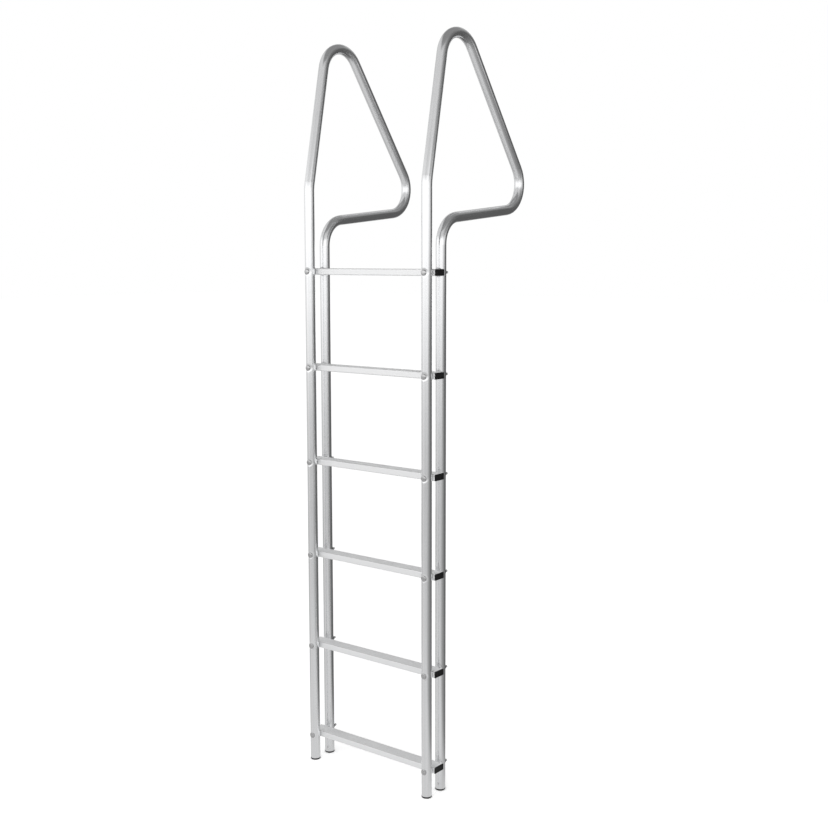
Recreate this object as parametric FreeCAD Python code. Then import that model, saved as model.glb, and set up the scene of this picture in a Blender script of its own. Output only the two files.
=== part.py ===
import FreeCAD, Part
import math
import os

# Dock ladder of bent round tube with flat extruded steps.
# Millimetres. The origin is the middle of the bottom face of the left front foot.
# X runs from the left side frame to the right one, Y from the climber to the dock, Z up.

# Side frames
frame_spacing = 463.55      # centre to centre of the two side frames
leg_spacing = 69.85         # centre to centre of a frame's front and rear legs
tube_diameter = 31.75
tube_wall = 1.65
bend_radius = 84.0          # centreline radius of the apex, the rear corner and the shoulder
kink_radius = 150.0         # centreline radius where the front leg starts to lean back
kink_above_top_step = 262.0
lean_angle = 11.1           # of the upright above the kink, in degrees
shoulder_above_top_step = 156.5     # to where the rear leg meets the hand rest's line
rest_rise_angle = 6.0       # of the hand rest towards the dock, in degrees
loop_reach = 562.0          # front leg to the corner of hand rest and slope
slope_angle = 53.7          # of the slope below the level, in degrees

# Steps
step_count = 6
step_pitch = 304.8
lowest_step_height = 84.0   # middle of the lowest step
step_overhang = 22.225      # middle of a side frame to the end cap's face
step_depth = 44.5
step_height = 20.0
step_corner_radius = 3.0
step_side_wall = 5.0
step_skin = 2.2             # top and bottom of the extrusion
saddle_clearance = 0.2      # between a leg and the hollow milled for it
groove_count = 9
groove_pitch = 3.6
groove_width = 1.6
groove_depth = 0.7
bolt_bore = 8.4

# Step end caps
cap_thickness = 2.0
cap_edge_bevel = 0.8
cap_recess_depth = 0.8
cap_recess_margin = 2.6
cap_recess_corner_radius = 1.2
cap_insert_length = 12.0
cap_insert_wall = 1.8
cap_insert_clearance = 0.3

# Foot plugs
plug_flange = 4.0
plug_edge_bevel = 1.8
plug_insert_length = 24.0
plug_insert_clearance = 0.3
plug_rib_count = 2
plug_rib_width = 2.5
plug_rib_height = 1.2
plug_wall = 2.0

tube_radius = tube_diameter / 2
bore_radius = tube_radius - tube_wall
step_heights = [lowest_step_height + step_pitch * row for row in range(step_count)]
side_positions = {"left": 0.0, "right": frame_spacing}
leg_positions = {"front": 0.0, "rear": leg_spacing}
top_step_height = step_heights[-1]
step_start = cap_thickness - step_overhang
extrusion_length = frame_spacing - 2 * step_start
step_middle_y = leg_spacing / 2

X_AXIS = FreeCAD.Vector(1, 0, 0)
Y_AXIS = FreeCAD.Vector(0, 1, 0)
Z_AXIS = FreeCAD.Vector(0, 0, 1)


def frame_corners():
    """Corners of a side frame's centreline before bending, as (y, z)."""
    lean = math.radians(lean_angle)
    rise = math.radians(rest_rise_angle)
    slope = math.radians(slope_angle)
    kink_height = top_step_height + kink_above_top_step
    shoulder_height = top_step_height + shoulder_above_top_step
    rear_z = shoulder_height + (loop_reach - leg_spacing) * math.tan(rise)
    # The leaning upright y = t tan(lean), z = kink + t meets the slope's line.
    climb = (rear_z - kink_height + loop_reach * math.tan(slope)) / (1 + math.tan(lean) * math.tan(slope))
    return [
        (0.0, plug_flange),
        (0.0, kink_height),
        (climb * math.tan(lean), kink_height + climb),
        (loop_reach, rear_z),
        (leg_spacing, shoulder_height),
        (leg_spacing, plug_flange),
    ]


def bent_path(corners, radii, x):
    """Wire of straight runs joined by tangent arcs, in the plane at x."""
    points = [FreeCAD.Vector(x, y, z) for y, z in corners]
    edges = []
    start = points[0]
    for before, corner, after, radius in zip(points, points[1:], points[2:], radii):
        back = (before - corner).normalize()
        ahead = (after - corner).normalize()
        half_angle = back.getAngle(ahead) / 2
        inset = radius / math.tan(half_angle)
        arc_start = corner + back * inset
        arc_end = corner + ahead * inset
        towards_centre = (back + ahead).normalize()
        arc_middle = corner + towards_centre * (radius / math.sin(half_angle) - radius)
        edges.append(Part.LineSegment(start, arc_start).toShape())
        edges.append(Part.Arc(arc_start, arc_middle, arc_end).toShape())
        start = arc_end
    edges.append(Part.LineSegment(start, points[-1]).toShape())
    return Part.Wire(edges)


def swept_rod(path, radius):
    """Solid round rod along a path that starts straight up."""
    ring = Part.Wire(Part.makeCircle(radius, path.OrderedVertexes[0].Point, Z_AXIS))
    return path.makePipeShell([ring], True, False)


def bolt_holes(x):
    """Rods that cut the bolt holes through everything at one side frame."""
    length = leg_spacing + 2 * tube_diameter
    holes = []
    for height in step_heights:
        start = FreeCAD.Vector(x, -tube_diameter, height)
        holes.append(Part.makeCylinder(bolt_bore / 2, length, start, Y_AXIS))
    return holes


def side_frame(x):
    """One length of tube: front leg, upright, slope, hand rest and rear leg."""
    radii = [kink_radius, bend_radius, bend_radius, bend_radius]
    path = bent_path(frame_corners(), radii, x)
    tube = swept_rod(path, tube_radius).cut(swept_rod(path, bore_radius))
    return tube.cut(bolt_holes(x))


def bar(length, depth, tall, x, height):
    """Bar along X from x, centred between the front and rear legs at a height."""
    corner = FreeCAD.Vector(x, step_middle_y - depth / 2, height - tall / 2)
    return Part.makeBox(length, depth, tall, corner)


def rounded_bar(length, depth, tall, radius, x, height):
    """The same bar with its four long edges rounded."""
    block = bar(length, depth, tall, x, height)
    long_edges = [edge for edge in block.Edges if abs(edge.tangentAt(edge.FirstParameter).x) > 0.5]
    return block.makeFillet(radius, long_edges)


def step_blank(length, x, height):
    """Solid of the step's outer form."""
    return rounded_bar(length, step_depth, step_height, step_corner_radius, x, height)


def step_cavity(clearance, length, x, height):
    """Bar that fills the step's hollow, smaller all round by the clearance."""
    depth = step_depth - 2 * (step_side_wall + clearance)
    tall = step_height - 2 * (step_skin + clearance)
    return bar(length, depth, tall, x, height)


def grip_grooves(height):
    """V grooves along the tread."""
    top = height + step_height / 2
    past = 1.0
    grooves = []
    for row in range(groove_count):
        y = step_middle_y + (row - (groove_count - 1) / 2) * groove_pitch
        half = groove_width / 2 * (1 + past / groove_depth)
        corners = [
            FreeCAD.Vector(step_start - past, y - half, top + past),
            FreeCAD.Vector(step_start - past, y, top - groove_depth),
            FreeCAD.Vector(step_start - past, y + half, top + past),
        ]
        section = Part.Face(Part.makePolygon(corners + corners[:1]))
        grooves.append(section.extrude(X_AXIS * (extrusion_length + 2 * past)))
    return grooves


def leg_saddles(height):
    """Rods that mill the step's faces to the legs' round form."""
    radius = tube_radius + saddle_clearance
    rods = []
    for x in side_positions.values():
        for y in leg_positions.values():
            start = FreeCAD.Vector(x, y, height - step_height)
            rods.append(Part.makeCylinder(radius, 2 * step_height, start, Z_AXIS))
    return rods


def step(height):
    """Hollow extrusion, saddled to the four legs and bored for two bolts."""
    body = step_blank(extrusion_length, step_start, height)
    body = body.cut(step_cavity(0, extrusion_length, step_start, height))
    bores = bolt_holes(side_positions["left"]) + bolt_holes(side_positions["right"])
    near = [bore for bore in bores if abs(bore.CenterOfMass.z - height) < bolt_bore]
    return body.cut(grip_grooves(height) + leg_saddles(height) + near)


def end_cap(height):
    """Plug for the left end of a step: a flange with a recess, and a hollow insert."""
    outer_x = step_start - cap_thickness
    flange = step_blank(cap_thickness, outer_x, height)
    rim = [edge for edge in flange.Edges if abs(edge.CenterOfMass.x - outer_x) < 0.01]
    flange = flange.makeChamfer(cap_edge_bevel, rim)
    recess = rounded_bar(
        cap_recess_depth,
        step_depth - 2 * cap_recess_margin,
        step_height - 2 * cap_recess_margin,
        cap_recess_corner_radius,
        outer_x,
        height,
    )
    insert = step_cavity(cap_insert_clearance, cap_insert_length, step_start, height)
    hollow = step_cavity(
        cap_insert_clearance + cap_insert_wall, cap_insert_length, step_start, height
    )
    return flange.cut(recess).fuse(insert.cut(hollow)).removeSplitter()


def mirrored_across(shape):
    """The same piece on the other side frame."""
    middle = FreeCAD.Vector(frame_spacing / 2, 0, 0)
    return shape.mirror(middle, X_AXIS)


def foot_plug(x, y):
    """Flanged plug with a ribbed, hollow stem that grips inside the leg."""
    rib_radius = bore_radius - plug_insert_clearance
    stem_radius = rib_radius - plug_rib_height
    flange = Part.makeCylinder(tube_radius, plug_flange)
    bottom = [edge for edge in flange.Edges if abs(edge.CenterOfMass.z) < 0.01 and edge.Closed]
    flange = flange.makeChamfer(plug_edge_bevel, bottom)
    plug = flange.fuse(Part.makeCylinder(stem_radius, plug_flange + plug_insert_length))
    rib_pitch = plug_insert_length / (plug_rib_count + 1)
    for rib in range(plug_rib_count):
        z = plug_flange + (rib + 1) * rib_pitch - plug_rib_width / 2
        plug = plug.fuse(Part.makeCylinder(rib_radius, plug_rib_width, FreeCAD.Vector(0, 0, z)))
    hollow_start = FreeCAD.Vector(0, 0, plug_flange)
    plug = plug.cut(Part.makeCylinder(stem_radius - plug_wall, plug_insert_length + 1, hollow_start))
    plug = plug.removeSplitter()
    plug.translate(FreeCAD.Vector(x, y, 0))
    return plug


def write_part(name, shape):
    """Write one node, which must be a single valid solid."""
    if not shape.isValid() or len(shape.Solids) != 1:
        raise ValueError("not one valid solid: " + name)
    solid = shape.Solids[0]
    solid.exportStep(os.path.join("parts", name + ".step"))
    print(name, round(solid.Volume), "mm3")


def main():
    os.makedirs("parts", exist_ok=True)
    for side, x in side_positions.items():
        write_part("side_frame_" + side, side_frame(x))
        for end, y in leg_positions.items():
            write_part("foot_plug_" + end + "_" + side, foot_plug(x, y))
    for number, height in enumerate(step_heights, start=1):
        name = "step_" + str(number)
        cap = end_cap(height)
        write_part(name, step(height))
        write_part(name + "_end_cap_left", cap)
        write_part(name + "_end_cap_right", mirrored_across(cap))


main()
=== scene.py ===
"""Finishes, bolts and a plain studio for a dock ladder of bent tube and flat steps."""

import math

import bmesh
import bpy
from bpy.props import FloatProperty, FloatVectorProperty, IntProperty, PointerProperty
from mathutils import Matrix, Vector


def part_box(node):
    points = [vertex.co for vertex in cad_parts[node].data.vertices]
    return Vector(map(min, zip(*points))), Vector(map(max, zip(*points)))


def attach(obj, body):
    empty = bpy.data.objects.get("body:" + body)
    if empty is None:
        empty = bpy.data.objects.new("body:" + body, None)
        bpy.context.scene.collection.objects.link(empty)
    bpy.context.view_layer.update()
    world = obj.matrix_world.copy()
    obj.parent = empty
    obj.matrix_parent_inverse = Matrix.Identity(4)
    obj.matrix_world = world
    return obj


bl_info = {
    "name": "Dock Ladder Finish",
    "version": (1, 0, 0),
    "blender": (4, 5, 0),
    "location": "3D View > Sidebar > Dock Ladder",
    "description": "Satin tube, ribbed steps, plastic plugs, bolts and a plain studio",
    "category": "Object",
}

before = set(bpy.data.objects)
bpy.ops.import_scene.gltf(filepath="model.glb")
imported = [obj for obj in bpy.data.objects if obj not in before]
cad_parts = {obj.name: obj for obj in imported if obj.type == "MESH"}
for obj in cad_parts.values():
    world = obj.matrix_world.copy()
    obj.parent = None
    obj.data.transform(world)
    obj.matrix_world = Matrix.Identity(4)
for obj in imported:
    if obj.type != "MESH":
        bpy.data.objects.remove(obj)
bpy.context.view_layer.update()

BODY = "root"
SIDES = ("left", "right")
STEPS = sorted(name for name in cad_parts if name.startswith("step_") and "cap" not in name)
SIDE_FRAMES = ["side_frame_" + side for side in SIDES]
END_CAPS = sorted(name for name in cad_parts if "end_cap" in name)
FOOT_PLUGS = sorted(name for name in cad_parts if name.startswith("foot_plug"))

# Photograph frame and the focal length found for it, in pixels
PHOTO_SIDE = 828
FOCAL_PIXELS = 1178.7
AXIS_ROW_PIXEL = 400.3
SENSOR_WIDTH = 36.0

MILLIMETRES = 1000                  # in a metre
SHARP_ANGLE = math.radians(35)      # an edge that turns more than this stays sharp
WHITE = (1.0, 1.0, 1.0, 1.0)


def middle(node):
    """Centre of a node's box."""
    low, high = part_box(node)
    return (low + high) / 2


def half_width(node):
    """Half of a node's width along X."""
    low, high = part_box(node)
    return (high.x - low.x) / 2


TUBE_RADIUS = half_width("side_frame_left")
FRAME_SPACING = middle("side_frame_right").x - middle("side_frame_left").x
REAR_LEG_Y = middle("foot_plug_rear_left").y
STEP_PITCH = middle("step_2").z - middle("step_1").z
STEP_HEIGHT = middle("step_1").z
STEP_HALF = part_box("step_1")[1].z - STEP_HEIGHT


class Wire:
    """A node's socket, on which arithmetic adds Math nodes."""

    def __init__(self, tree, socket=None):
        self.tree = tree
        self.socket = socket

    def node(self, kind, settings=None, inputs=None, output=0):
        """Add a node: first its settings, then the values or links of its sockets."""
        made = self.tree.nodes.new(kind)
        for name, value in (settings or {}).items():
            if name == "stops":
                set_stops(made.color_ramp, value)
            else:
                setattr(made, name, value)
        for name, value in (inputs or {}).items():
            if isinstance(value, Wire):
                self.tree.links.new(value.socket, made.inputs[name])
            else:
                made.inputs[name].default_value = value
        return Wire(self.tree, made.outputs[output] if len(made.outputs) else None)

    def output(self, name):
        """Another output of the same node."""
        return Wire(self.tree, self.socket.node.outputs[name])

    def math(self, operation, *others):
        """Math node with this value first."""
        values = dict(enumerate((self, *others)))
        return self.node("ShaderNodeMath", {"operation": operation}, values)

    def __add__(self, other):
        return self.math("ADD", other)

    def __sub__(self, other):
        return self.math("SUBTRACT", other)

    def __rsub__(self, other):
        return self.node("ShaderNodeMath", {"operation": "SUBTRACT"}, {0: other, 1: self})

    def __mul__(self, other):
        return self.math("MULTIPLY", other)

    def __truediv__(self, other):
        return self.math("DIVIDE", other)

    def __rtruediv__(self, other):
        return self.node("ShaderNodeMath", {"operation": "DIVIDE"}, {0: other, 1: self})

    __radd__ = __add__
    __rmul__ = __mul__

    def blend(self, low, high):
        """Colour between two colours, by this value."""
        settings = {"data_type": "RGBA"}
        return self.node("ShaderNodeMix", settings, {0: self, 6: low, 7: high}, output=2)

    def between(self, low, high):
        """0 at low, 1 at high and smooth between them."""
        settings = {"interpolation_type": "SMOOTHSTEP"}
        return self.node("ShaderNodeMapRange", settings, {0: self, 1: low, 2: high})

    def joined(self, y, z):
        """Vector with this value as X."""
        return self.node("ShaderNodeCombineXYZ", inputs={0: self, 1: y, 2: z})

    def noise(self, scale, detail=2.0, roughness=0.5):
        """Smooth noise from 0 to 1, with this vector as the place."""
        inputs = {"Vector": self, "Scale": scale, "Detail": detail, "Roughness": roughness}
        return self.node("ShaderNodeTexNoise", inputs=inputs)


def set_stops(ramp, stops):
    """Give a colour ramp its (position, colour) stops."""
    while len(ramp.elements) < len(stops):
        ramp.elements.new(1.0)
    for element, (position, colour) in zip(ramp.elements, stops):
        element.position = position
        element.color = colour


def emptied(owner):
    """Start of a material's or world's node tree, with the nodes it comes with removed."""
    owner.use_nodes = True
    owner.node_tree.nodes.clear()
    return Wire(owner.node_tree)


def surface(name, **constants):
    """Material with one Principled shader, and the wire that its textures start from."""
    material = bpy.data.materials.new(name)
    shader = emptied(material).node("ShaderNodeBsdfPrincipled", inputs=constants)
    shader.node("ShaderNodeOutputMaterial", inputs={0: shader})
    return material, shader


def feed(shader, **values):
    """Link wires to a shader's sockets, named in words joined by underscores."""
    for name, wire in values.items():
        socket = shader.socket.node.inputs[name.replace("_", " ").title()]
        shader.tree.links.new(wire.socket, socket)


def bumped(height, distance):
    """Normal from a height, with the full height in metres."""
    inputs = {"Strength": 1.0, "Distance": distance, "Height": height}
    return height.node("ShaderNodeBump", inputs=inputs)


def object_axes(wire):
    """Place on the object along X, Y and Z, in metres."""
    place = wire.node("ShaderNodeTexCoord", output="Object")
    x = place.node("ShaderNodeSeparateXYZ", inputs={0: place})
    return place, x, x.output("Y"), x.output("Z")


def finish_nodes(names, material):
    """Give CAD nodes a finish through their material slots."""
    for name in names:
        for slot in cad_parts[name].material_slots:
            slot.material = material


def above_nearest_step(z):
    """Height above the middle of the nearest step."""
    row = ((z - STEP_HEIGHT) / STEP_PITCH).math("ROUND").math("MINIMUM", len(STEPS) - 1.0)
    return z - STEP_HEIGHT - row * STEP_PITCH


def tube_material(look):
    """Satin aluminium with drawn lines along the tube, drawn in a little round each bolt."""
    material, shader = surface("satin_tube", Metallic=1.0)
    place, x, y, z = object_axes(shader)
    half_spacing = FRAME_SPACING / 2
    off_axis = half_spacing - (x - half_spacing).math("ABSOLUTE")
    # The bends lie in planes of constant X, so the place round the tube follows from X alone.
    turn = (off_axis / TUBE_RADIUS).math("MINIMUM", 1.0).math("MAXIMUM", -1.0)
    around = turn.math("ARCCOSINE") * TUBE_RADIUS
    lines = (around / look.line_pitch).joined(y * look.line_run, z * look.line_run)
    fine = lines.noise(1.0, detail=2.0)
    streaks = (around / look.streak_width).joined(y * look.streak_run, z * look.streak_run)
    streak = streaks.noise(1.0, detail=2.0)
    cloud = place.noise(look.cloud_scale, detail=3.0)
    streak_share = 0.6
    mix = streak * streak_share + cloud * (1 - streak_share)
    # Rubbed spots are a fifth as wide as the clouds, and only where their noise is high.
    rubs = place.noise(look.cloud_scale * 5, detail=5.0, roughness=0.65)
    rubbed = rubs.between(0.56, 0.72)
    rise = above_nearest_step(z)
    from_bolt = (off_axis * off_axis + rise * rise).math("SQRT")
    dimple = from_bolt.between(look.dimple_inner, look.dimple_outer)
    height = fine * look.line_depth + dimple * look.dimple_depth
    feed(
        shader,
        base_color=mix.blend(look.shade_colour, look.colour),
        roughness=look.roughness + (streak - 0.5) * 0.06 + (cloud - 0.5) * 0.05 + rubbed * 0.03,
        normal=bumped(height * MILLIMETRES, 1 / MILLIMETRES),
    )
    return material


def step_material(look):
    """Satin extrusion with die lines along the step, and a little dust with painted shade in its grooves.
    """
    material, shader = surface("satin_step", Metallic=1.0)
    place, x, y, z = object_axes(shader)
    lines = (x * look.line_run).joined(y / look.line_pitch, z / look.line_pitch)
    fine = lines.noise(1.0, detail=3.0, roughness=0.6)
    cloud = place.noise(look.cloud_scale, detail=3.0)
    cloud_share = 0.6
    # Dust and painted shade thicken down the grooves and end just below them, so the step's sides stay
    # clean.
    below_top = STEP_HALF - above_nearest_step(z)
    deep = look.groove_depth
    dust_and_shade = below_top.between(0.0, deep) * below_top.between(deep * 1.6, deep * 1.2)
    mix = cloud * cloud_share + fine * (1 - cloud_share)
    tone = mix.blend(look.shade_colour, look.colour)
    feed(
        shader,
        # The grooves take a darker colour: dust, and painted shade in the hollows.
        base_color=(dust_and_shade * look.groove_dust_and_shade_share).blend(tone, look.groove_dust_and_shade_colour),
        roughness=look.roughness + (fine - 0.5) * 0.12 + (cloud - 0.5) * 0.1 + dust_and_shade * 0.1,
        normal=bumped(fine, look.line_depth),
    )
    return material


def plastic_material(look):
    """Black moulded plastic with a fine spark grain and slightly greyed high spots."""
    constants = {"Metallic": 0.0, "IOR": 1.46, "Specular IOR Level": look.gloss}
    material, shader = surface("moulded_black", **constants)
    place = object_axes(shader)[0]
    grain = place.noise(1.0 / look.grain_size, detail=4.0, roughness=0.7)
    patches_per_metre = 140.0
    cloud = place.noise(patches_per_metre, detail=3.0)
    # Plastic greys where a patch and the grain in it both stand high.
    greyed = (cloud * grain).between(0.15, 0.45)
    feed(
        shader,
        base_color=greyed.blend(look.colour, look.worn_colour),
        roughness=look.roughness + (grain - 0.5) * 0.25,
        normal=bumped(grain, look.grain_depth),
    )
    return material


def steel_material(look):
    """Stainless steel with light turning marks and a dulled bloom."""
    material, shader = surface("stainless_bolt", Metallic=1.0)
    place, x, y, z = object_axes(shader)
    radius = (x * x + z * z).math("SQRT")
    rings = (radius / look.mark_pitch).joined(y / look.mark_pitch, 0.0).noise(1.0, detail=2.0)
    patches_per_metre = 260.0
    bloom = place.noise(patches_per_metre, detail=4.0, roughness=0.6)
    bright = bloom.between(0.3, 0.7)
    feed(
        shader,
        base_color=bright.blend(look.steel_shade, look.steel_colour),
        roughness=look.steel_roughness + (bloom - 0.5) * 0.2,
        normal=bumped(rings, look.mark_depth),
    )
    return material


def ring(columns, shape):
    """Points round the Y axis, where shape gives the radius and Y at an angle."""
    points = []
    for column in range(columns):
        angle = 2 * math.pi * column / columns
        radius, y = shape(angle)
        points.append(Vector((radius * math.cos(angle), y, radius * math.sin(angle))))
    return points


def round_ring(columns, radius, y):
    """Ring of one radius at one Y."""
    return ring(columns, lambda angle: (radius, y))


def skinned(name, rings, capped):
    """Mesh over rings of points, capped at both ends or joined from last to first."""
    form = bmesh.new()
    rows = [[form.verts.new(point) for point in points] for points in rings]
    pairs = list(zip(rows, rows[1:]))
    if not capped:
        pairs.append((rows[-1], rows[0]))
    for near, far in pairs:
        for here in range(len(near)):
            after = (here + 1) % len(near)
            form.faces.new((near[here], near[after], far[after], far[here]))
    if capped:
        for row in (rows[0], rows[-1]):
            centre = form.verts.new(sum((vertex.co for vertex in row), Vector()) / len(row))
            for here, vertex in enumerate(row):
                form.faces.new((centre, vertex, row[(here + 1) % len(row)]))
    bmesh.ops.recalc_face_normals(form, faces=form.faces)
    mesh = bpy.data.meshes.new(name)
    form.to_mesh(mesh)
    form.free()
    mesh.shade_smooth()
    mesh.set_sharp_from_angle(angle=SHARP_ANGLE)
    return mesh


def bolt_mesh(size):
    """Flattened round head, plain shank and threaded tail; Y is 0 under the head."""
    columns = size.columns
    head_radius = size.head_diameter / 2
    shank_radius = size.shank_diameter / 2
    rim = size.head_height * 0.2
    flat = head_radius * 0.2
    dome_rows = 8
    rings = []
    for row in range(dome_rows + 1):
        turn = math.pi / 2 * row / dome_rows
        y = -rim - (size.head_height - rim) * math.cos(turn)
        rings.append(round_ring(columns, flat + (head_radius - flat) * math.sin(turn), y))
    rings.append(round_ring(columns, head_radius, 0.0))
    rings.append(round_ring(columns, shank_radius, 0.0))
    end = REAR_LEG_Y + 2 * TUBE_RADIUS - size.head_sink + size.tail_length
    thread_start = end - size.thread_length
    chamfer = size.thread_pitch * 0.8
    depth = size.thread_pitch * 0.6
    rows_per_turn = 6
    row_count = round(size.thread_length / size.thread_pitch * rows_per_turn)

    def thread_ring(y):
        deep = depth * min(1.0, (y - thread_start) / size.thread_pitch)
        limit = shank_radius - max(0.0, y - (end - chamfer))

        def shape(angle):
            phase = (y / size.thread_pitch - angle / (2 * math.pi)) % 1.0
            return min(limit, shank_radius - deep * abs(2 * phase - 1)), y

        return ring(columns, shape)

    for row in range(row_count + 1):
        rings.append(thread_ring(thread_start + size.thread_length * row / row_count))
    return skinned("bolt", rings, capped=True)


def washer_mesh(size):
    """Flat washer with eased edges; Y runs from 0 to its thickness."""
    loose_fit = 1.06
    inner = size.shank_diameter / 2 * loose_fit
    outer = size.washer_diameter / 2
    thick = size.washer_thickness
    ease = thick * 0.18
    section = [
        (inner, ease),
        (inner + ease, 0.0),
        (outer - ease, 0.0),
        (outer, ease),
        (outer, thick - ease),
        (outer - ease, thick),
        (inner + ease, thick),
        (inner, thick - ease),
    ]
    rings = [round_ring(size.columns, radius, y) for radius, y in section]
    return skinned("washer", rings, capped=False)


def nut_mesh(size):
    """Hexagon nut with both faces chamfered to a circle; Y runs from 0 to its height."""
    columns = size.columns * 2
    tight_fit = 0.99
    bore = size.shank_diameter / 2 * tight_fit
    apothem = size.nut_width / 2
    chamfer_radius = apothem * 0.96
    chamfer_slope = math.tan(math.radians(30))
    sixth = math.pi / 3

    def flats(y, inward):
        def shape(angle):
            radius = apothem / math.cos(angle % sixth - sixth / 2)
            return radius, y + inward * (radius - chamfer_radius) * chamfer_slope

        return ring(columns, shape)

    height = size.nut_height
    lead = bore * 0.12
    rings = [
        round_ring(columns, bore, lead),
        round_ring(columns, bore + lead, 0.0),
        round_ring(columns, chamfer_radius, 0.0),
        flats(0.0, 1),
        flats(height, -1),
        round_ring(columns, chamfer_radius, height),
        round_ring(columns, bore + lead, height),
        round_ring(columns, bore, height - lead),
    ]
    return skinned("nut", rings, capped=False)


def added(name, data):
    """New object in the scene, for a mesh, lamp or camera."""
    made = bpy.data.objects.new(name, data)
    bpy.context.scene.collection.objects.link(made)
    return made


def at_each_bolt(kind, mesh, y, material):
    """Set one piece at every bolt: two for each step, in line with the side frames."""
    mesh.materials.append(material)
    for step in STEPS:
        for side, side_frame in zip(SIDES, SIDE_FRAMES):
            piece = added(f"{kind}_{step[-1]}_{side}", mesh)
            piece.location = (middle(side_frame).x, y, middle(step).z)
            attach(piece, BODY)


def lip_mesh(look):
    """Thin band that a foot plug carries round the leg's end; Y runs up from its foot."""
    columns = 72
    off_the_tube = 0.00001
    inner = TUBE_RADIUS + off_the_tube
    outer = TUBE_RADIUS + look.lip_thickness
    ease = look.lip_thickness * 0.4
    top = look.lip_height
    section = [
        (inner, 0.0),
        (outer - ease, 0.0),
        (outer, ease),
        (outer, top - ease),
        (outer - ease, top),
        (inner, top),
    ]
    rings = [round_ring(columns, radius, y) for radius, y in section]
    return skinned("plug_lip", rings, capped=False)


def shared_steel(look):
    """The fasteners' one material."""
    return bpy.data.materials.get("stainless_bolt") or steel_material(look)


class LadderTube(bpy.types.PropertyGroup):
    """Finish of the side frames."""

    colour: FloatVectorProperty(
        name="Colour", description="Bare satin aluminium", subtype="COLOR", size=4,
        default=(0.8, 0.804, 0.812, 1.0), min=0.0, max=1.0,
    )
    shade_colour: FloatVectorProperty(
        name="Shade", description="Duller streaks in the aluminium", subtype="COLOR", size=4,
        default=(0.65, 0.654, 0.662, 1.0), min=0.0, max=1.0,
    )
    roughness: FloatProperty(
        name="Roughness", description="Mean roughness of the satin surface",
        default=0.22, min=0.05, max=1.0, subtype="FACTOR",
    )
    line_pitch: FloatProperty(
        name="Line pitch", description="Width of a drawn line", default=0.0004, unit="LENGTH",
    )
    line_run: FloatProperty(
        name="Line run", description="How often a drawn line changes, for each metre", default=4.0,
    )
    line_depth: FloatProperty(
        name="Line depth", description="Depth of the drawn lines", default=0.000002, unit="LENGTH",
    )
    streak_width: FloatProperty(
        name="Streak width", description="Width of a soft streak", default=0.004, unit="LENGTH",
    )
    streak_run: FloatProperty(
        name="Streak run", description="How often a streak changes, for each metre", default=2.0,
    )
    cloud_scale: FloatProperty(
        name="Cloudiness", description="Cloudy patches for each metre", default=9.0,
    )
    dimple_inner: FloatProperty(
        name="Dimple start", description="From the bolt's axis to the foot of the drawn-in rim",
        default=0.0075, unit="LENGTH",
    )
    dimple_outer: FloatProperty(
        name="Dimple end", description="From the bolt's axis to the top of the drawn-in rim",
        default=0.015, unit="LENGTH",
    )
    dimple_depth: FloatProperty(
        name="Dimple depth", description="How far the tube is drawn in under a bolt",
        default=0.0011, unit="LENGTH",
    )


class LadderStep(bpy.types.PropertyGroup):
    """Finish of the steps."""

    colour: FloatVectorProperty(
        name="Colour", description="Bare satin aluminium", subtype="COLOR", size=4,
        default=(0.885, 0.887, 0.891, 1.0), min=0.0, max=1.0,
    )
    shade_colour: FloatVectorProperty(
        name="Shade", description="Duller streaks in the aluminium", subtype="COLOR", size=4,
        default=(0.815, 0.818, 0.823, 1.0), min=0.0, max=1.0,
    )
    # Painted shade in the grip grooves, along with their dust and oxide, takes this colour and the share
    # below.
    groove_dust_and_shade_colour: FloatVectorProperty(
        name="Groove", description="Dust and oxide in the grip grooves", subtype="COLOR", size=4,
        default=(0.42, 0.42, 0.415, 1.0), min=0.0, max=1.0,
    )
    groove_dust_and_shade_share: FloatProperty(
        name="Groove dust", description="Share of the groove that is dull",
        default=0.5, min=0.0, max=1.0, subtype="FACTOR",
    )
    groove_depth: FloatProperty(
        name="Groove depth", description="Depth of the grip grooves", default=0.0007, unit="LENGTH",
    )
    roughness: FloatProperty(
        name="Roughness", description="Mean roughness of the satin surface",
        default=0.58, min=0.05, max=1.0, subtype="FACTOR",
    )
    line_pitch: FloatProperty(
        name="Line pitch", description="Width of a die line", default=0.0008, unit="LENGTH",
    )
    line_run: FloatProperty(
        name="Line run", description="How often a die line changes, for each metre", default=9.0,
    )
    line_depth: FloatProperty(
        name="Line depth", description="Depth of the die lines", default=0.00003, unit="LENGTH",
    )
    cloud_scale: FloatProperty(
        name="Cloudiness", description="Cloudy patches for each metre", default=16.0,
    )


class LadderPlastic(bpy.types.PropertyGroup):
    """Finish of the end caps and foot plugs, and sizes of the plugs' lips."""

    colour: FloatVectorProperty(
        name="Colour", description="Black plastic", subtype="COLOR", size=4,
        default=(0.006, 0.006, 0.0065, 1.0), min=0.0, max=1.0,
    )
    worn_colour: FloatVectorProperty(
        name="Worn", description="Greyed high spots", subtype="COLOR", size=4,
        default=(0.018, 0.018, 0.0185, 1.0), min=0.0, max=1.0,
    )
    roughness: FloatProperty(
        name="Roughness", description="Mean roughness of the grain",
        default=0.5, min=0.05, max=1.0, subtype="FACTOR",
    )
    gloss: FloatProperty(
        name="Gloss", description="Strength of the reflections, 0.5 for smooth plastic",
        default=0.25, min=0.0, max=1.0, subtype="FACTOR",
    )
    grain_size: FloatProperty(
        name="Grain size", description="Size of the moulded grain", default=0.0007, unit="LENGTH",
    )
    grain_depth: FloatProperty(
        name="Grain depth", description="Depth of the moulded grain", default=0.00008, unit="LENGTH",
    )
    lip_start: FloatProperty(
        name="Lip start", description="From the floor to a foot plug's lip", default=0.0019, unit="LENGTH",
    )
    lip_height: FloatProperty(
        name="Lip height", description="Height of the lip round a leg's end", default=0.0037, unit="LENGTH",
    )
    lip_thickness: FloatProperty(
        name="Lip thickness", description="How far the lip stands out", default=0.0003, unit="LENGTH",
    )


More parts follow.
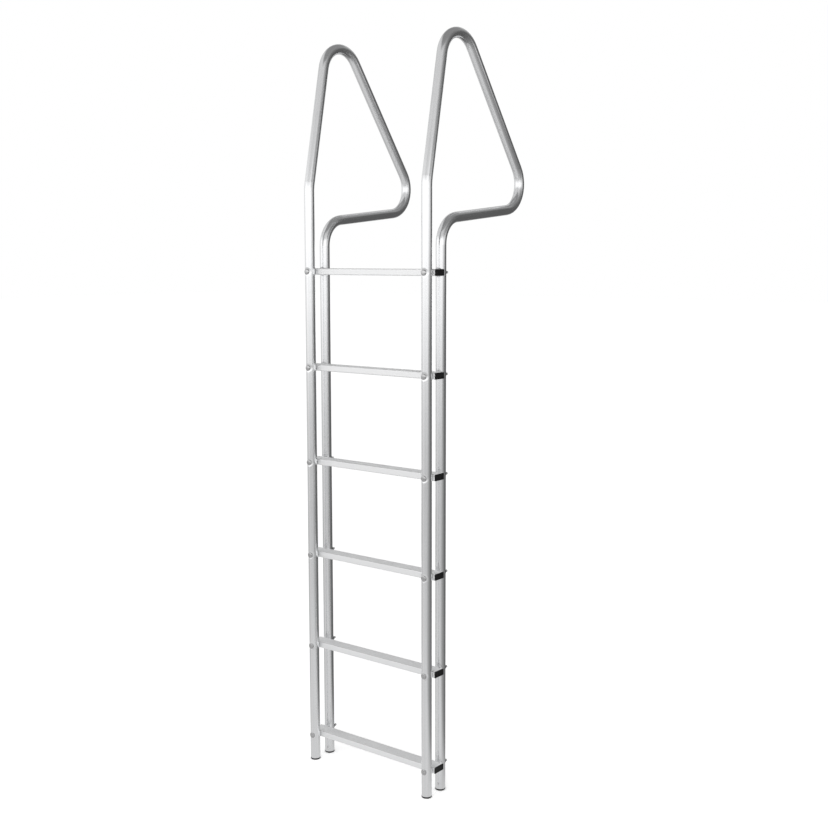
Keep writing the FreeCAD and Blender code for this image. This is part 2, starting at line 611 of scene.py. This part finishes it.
class LadderBolts(bpy.types.PropertyGroup):
    """Sizes and finish of the bolts, washers and nuts."""

    head_diameter: FloatProperty(
        name="Head diameter", description="Across the round head", default=0.019, unit="LENGTH",
    )
    head_height: FloatProperty(
        name="Head height", description="From under the head to its top", default=0.0036, unit="LENGTH",
    )
    head_sink: FloatProperty(
        name="Head sink", description="How far the head draws the tube in", default=0.0012, unit="LENGTH",
    )
    shank_diameter: FloatProperty(
        name="Shank diameter", description="Across the shank and thread", default=0.00794, unit="LENGTH",
    )
    thread_pitch: FloatProperty(
        name="Thread pitch", description="From one crest to the next", default=0.00141, unit="LENGTH",
    )
    thread_length: FloatProperty(
        name="Thread length", description="Length of the modelled thread", default=0.0085, unit="LENGTH",
    )
    tail_length: FloatProperty(
        name="Tail", description="Bolt past the rear leg", default=0.0165, unit="LENGTH",
    )
    washer_diameter: FloatProperty(
        name="Washer diameter", description="Across the washer", default=0.0145, unit="LENGTH",
    )
    washer_thickness: FloatProperty(
        name="Washer thickness", description="Thickness of the washer", default=0.0014, unit="LENGTH",
    )
    nut_width: FloatProperty(
        name="Nut width", description="Across the flats", default=0.0111, unit="LENGTH",
    )
    nut_height: FloatProperty(
        name="Nut height", description="Height of the nut", default=0.0056, unit="LENGTH",
    )
    columns: IntProperty(
        name="Columns", description="Faces round each piece", default=36, min=12, step=6,
    )
    steel_colour: FloatVectorProperty(
        name="Steel", description="Stainless steel", subtype="COLOR", size=4,
        default=(0.5, 0.5, 0.505, 1.0), min=0.0, max=1.0,
    )
    steel_shade: FloatVectorProperty(
        name="Steel shade", description="Duller patches", subtype="COLOR", size=4,
        default=(0.37, 0.37, 0.37, 1.0), min=0.0, max=1.0,
    )
    steel_roughness: FloatProperty(
        name="Roughness", description="Mean roughness of the steel",
        default=0.17, min=0.05, max=1.0, subtype="FACTOR",
    )
    mark_pitch: FloatProperty(
        name="Mark pitch", description="From one turning mark to the next", default=0.0005, unit="LENGTH",
    )
    mark_depth: FloatProperty(
        name="Mark depth", description="Depth of the turning marks", default=0.00002, unit="LENGTH",
    )


class LadderStudio(bpy.types.PropertyGroup):
    """Camera, lamps, floor, and the surround that the bare metal shows."""

    camera_place: FloatVectorProperty(
        name="Camera", description="Camera's place", subtype="TRANSLATION", unit="LENGTH",
        default=(2.562, -2.7564, 1.6504),
    )
    camera_turn: FloatProperty(
        name="Turn", description="View direction from +Y towards -X",
        default=math.radians(37.904), subtype="ANGLE", unit="ROTATION",
    )
    camera_tilt: FloatProperty(
        name="Tilt", description="View direction above the level",
        default=math.radians(-6.886), subtype="ANGLE", unit="ROTATION",
    )
    camera_roll: FloatProperty(
        name="Roll", description="Camera's turn about its view direction",
        default=math.radians(-0.068), subtype="ANGLE", unit="ROTATION",
    )
    sky_level: FloatProperty(
        name="Sky level", description="Soft light from all round", default=0.62, min=0.0,
    )
    lamp_level: FloatProperty(
        name="Lamp level", description="How bright the soft front lamp is", default=1.1, min=0.0,
    )
    key_level: FloatProperty(
        name="Key level", description="Strength of the overhead soft sun", default=0.7, min=0.0,
    )
    surround_level: FloatProperty(
        name="Surround", description="How bright the surround looks in the metal", default=0.83, min=0.0,
    )
    glow_level: FloatProperty(
        name="Light band", description="What the band of light adds in the metal", default=1.2, min=0.0,
    )
    ceiling_level: FloatProperty(
        name="Ceiling", description="How bright the surround is overhead", default=0.38, min=0.0,
    )
    # The second gain paints brighter reflections where metal shows in metal.
    second_gain: FloatProperty(
        name="Second gain", description="Extra light where metal shows in metal", default=0.5, min=0.0,
    )
    floor_colour: FloatVectorProperty(
        name="Floor", description="Pale floor", subtype="COLOR", size=4,
        default=(0.88, 0.88, 0.88, 1.0), min=0.0, max=1.0,
    )
    floor_fill: FloatProperty(
        name="Floor fill", description="White added to the floor where the camera sees it",
        default=0.35, min=0.0,
    )


def seen_ray(start, mirrored):
    """1 for camera and transmission rays, and also for glossy rays where mirrored."""
    camera = start.node("ShaderNodeLightPath", output="Is Camera Ray")
    seen = camera.math("MAXIMUM", camera.output("Is Transmission Ray"))
    return seen.math("MAXIMUM", camera.output("Is Glossy Ray")) if mirrored else seen


def white_world(scene, look):
    """White where it is seen, and soft grey light for the rest."""
    world = bpy.data.worlds.new("studio_white")
    start = emptied(world)
    light = start.node("ShaderNodeBackground", inputs={0: WHITE, 1: look.sky_level})
    shown = start.node("ShaderNodeBackground", inputs={0: WHITE, 1: 1.0})
    inputs = {0: seen_ray(start, mirrored=True), 1: light, 2: shown}
    start.node("ShaderNodeOutputWorld", inputs={0: start.node("ShaderNodeMixShader", inputs=inputs)})
    scene.world = world


def sheet(name, faces, material):
    """Stage sheet of loose faces, each given by its corners."""
    form = bmesh.new()
    for corners in faces:
        form.faces.new([form.verts.new(corner) for corner in corners])
    mesh = bpy.data.meshes.new(name)
    form.to_mesh(mesh)
    form.free()
    mesh.materials.append(material)
    made = added(name, mesh)
    return made


def glowing(name, level):
    """Material as bright as level says, whatever the light; level works from the tree's start."""
    material = bpy.data.materials.new(name)
    start = emptied(material)
    inputs = {0: WHITE, 1: level(start)}
    start.node("ShaderNodeOutputMaterial", inputs={0: start.node("ShaderNodeEmission", inputs=inputs)})
    return material


def floor_material(look):
    """Matt pale floor, with white added where the camera sees it, so its shadow stays."""
    material = bpy.data.materials.new("pale_floor")
    start = emptied(material)
    matt = start.node("ShaderNodeBsdfDiffuse", inputs={0: look.floor_colour})
    shown = {0: WHITE, 1: seen_ray(start, mirrored=False) * look.floor_fill}
    fill = start.node("ShaderNodeEmission", inputs=shown)
    both = start.node("ShaderNodeAddShader", inputs={0: matt, 1: fill})
    start.node("ShaderNodeOutputMaterial", inputs={0: both})
    return material


def heading(degrees):
    """Level direction from the ladder, turned from the camera's towards the picture's right."""
    turn = bpy.context.scene.ladder_studio.camera_turn - math.pi / 2 + math.radians(degrees)
    return Vector((math.cos(turn), math.sin(turn), 0.0))


def only_in_reflections(made):
    """Hide a stage piece from all but glossy rays."""
    made.visible_camera = False
    made.visible_diffuse = False
    made.visible_shadow = False
    made.visible_transmission = False


def build_floor(look):
    """Wide level floor under the ladder's feet."""
    far = 40.0
    corners = [(-far, -far, 0.0), (far, -far, 0.0), (far, far, 0.0), (-far, far, 0.0)]
    sheet("floor", [corners], floor_material(look))


# Grey levels of the surround's glow, which the metal shows as painted reflections, by heading in degrees:
# low on its screen, high on it, what the light band adds, and on its floor
LOW_LEVELS = (
    (-180, 0.8), (-90, 0.85), (-70, 1.0), (-45, 0.75), (15, 0.75), (40, 0.6), (60, 0.4), (80, 0.25),
    (105, 0.15), (145, 0.15), (180, 0.8),
)
HIGH_LEVELS = (
    (-180, 0.85), (-120, 1.0), (15, 1.0), (35, 0.8), (60, 0.5), (90, 0.25), (115, 0.45), (130, 0.5),
    (145, 0.8), (165, 0.95), (180, 0.85),
)
BAND_LEVELS = (
    (-180, 0.0), (-130, 0.3), (-60, 0.9), (40, 1.0), (60, 0.95), (80, 0.7), (95, 0.0), (180, 0.0),
)
FLOOR_LEVELS = (
    (-180, 0.3), (-110, 0.85), (-75, 0.95), (0, 0.85), (20, 0.7), (40, 0.5), (60, 0.4), (85, 0.3),
    (105, 0.2), (150, 0.15), (180, 0.3),
)
STRAIGHT_AHEAD = 0.5        # where a heading of 0 lies on a ramp over the full circle


def by_heading(around, levels):
    """Grey level read from a ramp over the full circle."""
    stops = [(turn / 360 + STRAIGHT_AHEAD, (level, level, level, 1.0)) for turn, level in levels]
    return around.node("ShaderNodeValToRGB", {"stops": stops}, {0: around})


def build_surround(look, centre):
    """Glowing round screen, floor and ceiling that only the bare metal shows: painted reflections, as in a
    half-lit studio.
    """
    radius = 4.0
    height = 6.0
    panels = 60
    floor_rise = 0.002
    # A pool of light lies on the floor before the ladder, and far from it the floor is dimmer.
    pool = centre + heading(-35.0) * 0.8
    pool_level = 0.98
    pool_edge = (1.3, 0.7)
    far_edge = (2.0, 3.6)
    far_loss = 0.12

    def level(start):
        x, y, z = object_axes(start)[1:]
        ahead = heading(0.0)
        aside = heading(90.0)
        forward = (x - centre.x) * ahead.x + (y - centre.y) * ahead.y
        sideways = (x - centre.x) * aside.x + (y - centre.y) * aside.y
        around = sideways.math("ARCTAN2", forward) / (2 * math.pi) + STRAIGHT_AHEAD
        from_pool_x = x - pool.x
        from_pool_y = y - pool.y
        reach = (from_pool_x * from_pool_x + from_pool_y * from_pool_y).math("SQRT")
        # Ray depth is 1 for what the metal shows and 2 for what it shows by way of other metal.
        # There it shows a painted reflection of the lit front, unless the ray comes up off a tread and
        # lands high.
        bounces = start.node("ShaderNodeLightPath", output="Ray Depth")
        again = bounces.math("GREATER_THAN", 1.5)
        rising = again * z.between(1.7, 2.1)
        again = again - rising
        around = around + (STRAIGHT_AHEAD - around) * again
        low = by_heading(around, LOW_LEVELS)
        high = by_heading(around, HIGH_LEVELS)
        # The light band is soft above and below, and narrower towards the right side.
        side = around.between(0.56, 0.64)
        foot = z.between(0.2 + side * 1.1, 2.1 - side * 0.15)
        head = z.between(3.6 - side * 0.9, 2.8 - side * 0.5)
        band = by_heading(around, BAND_LEVELS) * foot * head
        upper = z.between(3.0, 4.6)
        screen = low + (high - low) * upper + band * look.glow_level
        # Overhead it is dim but for the left side, which the steps' rounded edges show.
        overhead = z.between(5.0, height)
        off_the_left = (sideways / radius).between(-0.7, -0.35)
        dim = overhead * off_the_left
        screen = screen + (look.ceiling_level - screen) * dim
        far_floor = by_heading(around, FLOOR_LEVELS)
        far_floor = far_floor * (1 - reach.between(*far_edge) * far_loss)
        floor = far_floor + (pool_level - far_floor) * reach.between(*pool_edge)
        on_screen = z.between(2 * floor_rise, 3 * floor_rise)
        shown = floor + (screen - floor) * on_screen
        # Metal seen by way of other metal gets a painted reflection, brighter by the second gain.
        return shown * (1 + again * look.second_gain) * look.surround_level

    turns = [360 * panel / panels for panel in range(panels + 1)]
    base = centre + Vector((0, 0, floor_rise))
    rim = [base + heading(turn) * radius for turn in turns]
    lift = Vector((0, 0, height))
    faces = [(one, other, other + lift, one + lift) for one, other in zip(rim, rim[1:])]
    faces += [(base, one, other) for one, other in zip(rim, rim[1:])]
    faces += [(base + lift, one + lift, other + lift) for one, other in zip(rim, rim[1:])]
    # The surround glows and is seen only in glossy rays, so what the metal shows of it is painted
    # reflection.
    only_in_reflections(sheet("surround", faces, glowing("surround_grey", level)))


def build_lamps(look, centre):
    """Soft front lamp and overhead soft sun, both kept out of the reflections."""
    lamp = bpy.data.lights.new("front_lamp", "AREA")
    lamp.shape = "RECTANGLE"
    lamp.size = 3.0
    lamp.size_y = 2.0
    lamp.energy = look.lamp_level * lamp.size * lamp.size_y * math.pi
    sun = bpy.data.lights.new("key_sun", "SUN")
    sun.energy = look.key_level
    sun.angle = math.radians(60)
    toward = heading(-25.0) + Vector((0, 0, 0.5))
    above = heading(-35.0) + Vector((0, 0, 1.4))
    distance = 3.0
    for light, away in ((lamp, toward), (sun, above)):
        place = added(light.name, light)
        spot = centre + away.normalized() * distance
        place.matrix_world = Matrix.Translation(spot) @ away.to_track_quat("Z", "Y").to_matrix().to_4x4()
        place.visible_glossy = False
        place.visible_camera = False


def build_camera(scene, look):
    """Camera at the photograph's place, with the frame raised or lowered by its shift."""
    lens = bpy.data.cameras.new("photo_camera")
    lens.sensor_width = SENSOR_WIDTH
    lens.lens = FOCAL_PIXELS / PHOTO_SIDE * SENSOR_WIDTH
    lens.shift_y = (AXIS_ROW_PIXEL - PHOTO_SIDE / 2) / PHOTO_SIDE
    camera = added("photo_camera", lens)
    camera.matrix_world = (
        Matrix.Translation(look.camera_place)
        @ Matrix.Rotation(look.camera_turn, 4, "Z")
        @ Matrix.Rotation(math.pi / 2 + look.camera_tilt, 4, "X")
        @ Matrix.Rotation(look.camera_roll, 4, "Z")
    )
    scene.camera = camera


class LADDER_OT_tube(bpy.types.Operator):
    """Give both side frames their drawn satin finish"""

    bl_idname = "dock_ladder.tube"
    bl_label = "Finish side frames"

    def execute(self, context):
        finish_nodes(SIDE_FRAMES, tube_material(context.scene.ladder_tube))
        return {"FINISHED"}


class LADDER_OT_steps(bpy.types.Operator):
    """Give the steps their extruded satin finish"""

    bl_idname = "dock_ladder.steps"
    bl_label = "Finish steps"

    def execute(self, context):
        finish_nodes(STEPS, step_material(context.scene.ladder_step))
        return {"FINISHED"}


class LADDER_OT_plastic(bpy.types.Operator):
    """Give the end caps and foot plugs their moulded finish"""

    bl_idname = "dock_ladder.plastic"
    bl_label = "Finish caps and plugs"

    def execute(self, context):
        finish_nodes(END_CAPS + FOOT_PLUGS, plastic_material(context.scene.ladder_plastic))
        return {"FINISHED"}


class LADDER_OT_lips(bpy.types.Operator):
    """Put the thin lip of each foot plug round its leg's end"""

    bl_idname = "dock_ladder.lips"
    bl_label = "Add plug lips"

    def execute(self, context):
        look = context.scene.ladder_plastic
        mesh = lip_mesh(look)
        mesh.materials.append(bpy.data.materials["moulded_black"])
        upright = math.pi / 2
        for plug in FOOT_PLUGS:
            piece = added(plug.replace("foot_plug", "plug_lip"), mesh)
            piece.location = (middle(plug).x, middle(plug).y, look.lip_start)
            piece.rotation_euler.x = upright
            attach(piece, BODY)
        return {"FINISHED"}


class LADDER_OT_bolts(bpy.types.Operator):
    """Put a round-headed bolt through both legs at each end of every step"""

    bl_idname = "dock_ladder.bolts"
    bl_label = "Add bolts"

    def execute(self, context):
        size = context.scene.ladder_bolts
        at_each_bolt("bolt", bolt_mesh(size), size.head_sink - TUBE_RADIUS, shared_steel(size))
        return {"FINISHED"}


class LADDER_OT_washers(bpy.types.Operator):
    """Put a flat washer behind each rear leg"""

    bl_idname = "dock_ladder.washers"
    bl_label = "Add washers"

    def execute(self, context):
        size = context.scene.ladder_bolts
        at_each_bolt("washer", washer_mesh(size), REAR_LEG_Y + TUBE_RADIUS, shared_steel(size))
        return {"FINISHED"}


class LADDER_OT_nuts(bpy.types.Operator):
    """Put a hexagon nut on each bolt"""

    bl_idname = "dock_ladder.nuts"
    bl_label = "Add nuts"

    def execute(self, context):
        size = context.scene.ladder_bolts
        seat = REAR_LEG_Y + TUBE_RADIUS + size.washer_thickness
        at_each_bolt("nut", nut_mesh(size), seat, shared_steel(size))
        return {"FINISHED"}


class LADDER_OT_studio(bpy.types.Operator):
    """Build the white world, floor, surround, lamps and camera"""

    bl_idname = "dock_ladder.studio"
    bl_label = "Build studio"

    def execute(self, context):
        scene = context.scene
        look = scene.ladder_studio
        centre = Vector((FRAME_SPACING / 2, REAR_LEG_Y / 2, 0.0))
        scene.view_settings.view_transform = "Standard"
        white_world(scene, look)
        build_floor(look)
        build_surround(look, centre)
        build_lamps(look, centre)
        build_camera(scene, look)
        return {"FINISHED"}


OPERATORS = (
    LADDER_OT_tube,
    LADDER_OT_steps,
    LADDER_OT_plastic,
    LADDER_OT_lips,
    LADDER_OT_bolts,
    LADDER_OT_washers,
    LADDER_OT_nuts,
    LADDER_OT_studio,
)
GROUPS = {
    "ladder_tube": LadderTube,
    "ladder_step": LadderStep,
    "ladder_plastic": LadderPlastic,
    "ladder_bolts": LadderBolts,
    "ladder_studio": LadderStudio,
}


class LADDER_PT_panel(bpy.types.Panel):
    """Lists the ladder's operators"""

    bl_idname = "LADDER_PT_panel"
    bl_label = "Dock Ladder"
    bl_space_type = "VIEW_3D"
    bl_region_type = "UI"
    bl_category = "Dock Ladder"

    def draw(self, context):
        for operator in OPERATORS:
            self.layout.operator(operator.bl_idname)


def register():
    for name, group in GROUPS.items():
        bpy.utils.register_class(group)
        setattr(bpy.types.Scene, name, PointerProperty(type=group))
    for listed in (*OPERATORS, LADDER_PT_panel):
        bpy.utils.register_class(listed)


def unregister():
    for listed in (LADDER_PT_panel, *reversed(OPERATORS)):
        bpy.utils.unregister_class(listed)
    for name, group in GROUPS.items():
        delattr(bpy.types.Scene, name)
        bpy.utils.unregister_class(group)


def main():
    register()
    bpy.ops.dock_ladder.tube()
    bpy.ops.dock_ladder.steps()
    bpy.ops.dock_ladder.plastic()
    bpy.ops.dock_ladder.lips()
    bpy.ops.dock_ladder.bolts()
    bpy.ops.dock_ladder.washers()
    bpy.ops.dock_ladder.nuts()
    bpy.ops.dock_ladder.studio()


if __name__ == "__main__":
    main()
